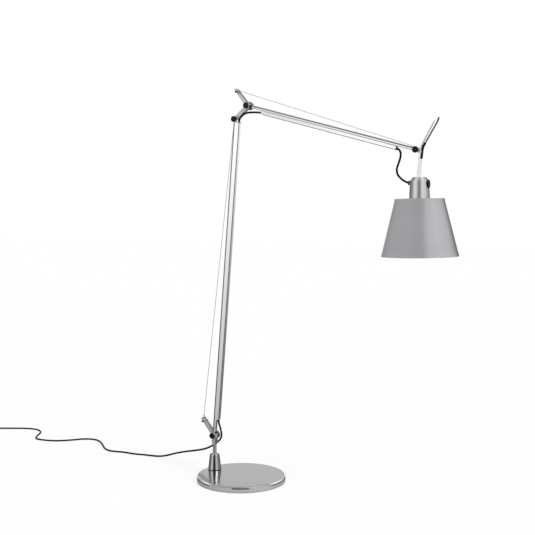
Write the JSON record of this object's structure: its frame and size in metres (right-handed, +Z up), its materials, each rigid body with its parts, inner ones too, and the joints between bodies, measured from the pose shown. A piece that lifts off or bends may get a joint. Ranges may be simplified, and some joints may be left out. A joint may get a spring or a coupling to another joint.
{
  "type": "reading floor lamp",
  "caption": "Spring-balanced reading floor lamp with jointed aluminium arms, tension cables, a round weighted base and a tilting fabric cone shade on a wire handle.",
  "frame": {"origin": "centre of the round base's underside, on the floor", "axes": "+Z up, +X the way the arms reach out, Y along the pivots with the knobs on the -Y side"},
  "size_m": [1.6662, 0.2867, 1.013],
  "materials": {
    "polished_steel": "polished",
    "cast_iron": "raw",
    "felt": "felt",
    "nylon": "satin",
    "screw_steel": "bright",
    "cord": "satin black",
    "black_plastic": "satin black",
    "plug_brass": "nickel plated",
    "satin_aluminium": "polished",
    "polished_aluminium": "polished",
    "grey_plastic": "satin",
    "cable_steel": "bright",
    "bulb_glass": "frosted",
    "shade_fabric": "satin weave",
    "white_wire": "white"
  },
  "bodies": {
    "base": {"base_cover": "polished_steel", "base_weight": "cast_iron", "base_pad": "felt", "stem_socket": "polished_steel", "socket_bush": "nylon", "socket_screw": "screw_steel", "lead_drop": "cord", "lead_floor": "cord", "lead_coil": "cord", "plug_body": "black_plastic", "plug_pins": "plug_brass"},
    "stem": {"stem_rod": "satin_aluminium", "stem_fork_block": "satin_aluminium", "base_lever_plate_near": "polished_aluminium", "base_lever_plate_far": "polished_aluminium", "base_lever_pins": "screw_steel", "foot_pivot_bolt": "screw_steel", "foot_hub_cap": "polished_steel", "foot_washers": "nylon", "lead_upper": "cord"},
    "lower_arm": {"lower_arm_tube": "satin_aluminium", "lower_duct_cap": "grey_plastic", "lower_arm_pins": "screw_steel", "lower_arm_spring": "screw_steel", "lower_cable": "cable_steel", "lower_arm_cord": "cord"},
    "elbow": {"elbow_plate_near": "polished_aluminium", "elbow_plate_far": "polished_aluminium", "elbow_lever_pins": "screw_steel", "elbow_low_bolt": "screw_steel", "elbow_high_bolt": "screw_steel", "elbow_hub_cap": "polished_steel", "elbow_washers": "nylon", "elbow_lead_low": "cord", "elbow_lead_high": "cord"},
    "upper_arm": {"upper_arm_tube": "satin_aluminium", "upper_duct_cap": "grey_plastic", "upper_arm_pins": "screw_steel", "upper_arm_spring": "screw_steel", "upper_cable": "cable_steel", "upper_arm_cord": "cord"},
    "head": {"head_yoke": "polished_aluminium", "head_pivot_bolt": "screw_steel", "handle_wire": "polished_steel", "handle_sleeve": "black_plastic", "socket_cup": "polished_aluminium", "cord_gland": "black_plastic", "lamp_holder": "black_plastic", "holder_ring": "black_plastic", "bulb": "bulb_glass", "shade": "shade_fabric", "shade_frame": "white_wire", "head_lead": "cord"},
    "foot_knob": {"foot_knob": "black_plastic"},
    "elbow_low_knob": {"elbow_low_knob": "black_plastic"},
    "elbow_high_knob": {"elbow_high_knob": "black_plastic"},
    "head_knob": {"head_knob": "black_plastic"},
    "switch": {"switch_knob": "black_plastic"},
    "lower_pulley": {"lower_arm_pulley": "nylon"},
    "upper_pulley": {"upper_arm_pulley": "nylon"}
  },
  "joints": [
    {"name": "base_swivel", "type": "hinge", "parent": "base", "child": "stem", "pos_m": [-0.0883, 0.0111, 0.06], "axis": [0, 0, 1], "range_deg": [-150, 150], "deforming": ["lead_drop"]},
    {"name": "lower_tilt", "type": "hinge", "parent": "stem", "child": "lower_arm", "pos_m": [-0.0883, 0.0111, 0.1078], "axis": [0, 1, 0], "range_deg": [-20, 30], "deforming": ["lower_cable", "lead_upper"]},
    {"name": "elbow_fold", "type": "hinge", "parent": "lower_arm", "child": "elbow", "pos_m": [-0.01966, 0.0111, 0.93566], "axis": [0, 1, 0], "range_deg": [-30, 20], "deforming": ["elbow_lead_low"]},
    {"name": "upper_tilt", "type": "hinge", "parent": "elbow", "child": "upper_arm", "pos_m": [0.01639, 0.0111, 0.96825], "axis": [0, 1, 0], "range_deg": [-45, 25], "deforming": ["upper_cable", "elbow_lead_high"]},
    {"name": "head_tilt", "type": "hinge", "parent": "upper_arm", "child": "head", "pos_m": [0.46938, 0.0111, 0.84484], "axis": [0, 1, 0], "range_deg": [-75, 55], "deforming": ["head_lead"]},
    {"name": "foot_knob_turn", "type": "hinge", "parent": "stem", "child": "foot_knob", "pos_m": [-0.0883, 0.0111, 0.1078], "axis": [0, 1, 0], "range_deg": [-180, 180]},
    {"name": "elbow_low_knob_turn", "type": "hinge", "parent": "elbow", "child": "elbow_low_knob", "pos_m": [-0.01966, 0.0111, 0.93566], "axis": [0, 1, 0], "range_deg": [-180, 180]},
    {"name": "elbow_high_knob_turn", "type": "hinge", "parent": "elbow", "child": "elbow_high_knob", "pos_m": [0.01639, 0.0111, 0.96825], "axis": [0, 1, 0], "range_deg": [-180, 180]},
    {"name": "head_knob_turn", "type": "hinge", "parent": "head", "child": "head_knob", "pos_m": [0.46938, 0.0111, 0.84484], "axis": [0, 1, 0], "range_deg": [-180, 180]},
    {"name": "switch_turn", "type": "hinge", "parent": "head", "child": "switch", "pos_m": [0.49696, 0.0111, 0.76541], "axis": [0.9998, 0, 0.0175], "range_deg": [0, 90]},
    {"name": "lower_pulley_turn", "type": "hinge", "parent": "lower_arm", "child": "lower_pulley", "pos_m": [-0.02256, 0.0111, 0.92486], "axis": [0, 1, 0], "range_deg": [-300, 200]},
    {"name": "upper_pulley_turn", "type": "hinge", "parent": "upper_arm", "child": "upper_pulley", "pos_m": [0.4593, 0.0111, 0.84966], "axis": [0, 1, 0], "range_deg": [-190, 340]}
  ],
  "couplings": [
    {"joint": "lower_pulley_turn", "follows": "lower_tilt", "ratio": -9.8},
    {"joint": "upper_pulley_turn", "follows": "upper_tilt", "ratio": -7.3}
  ]
}
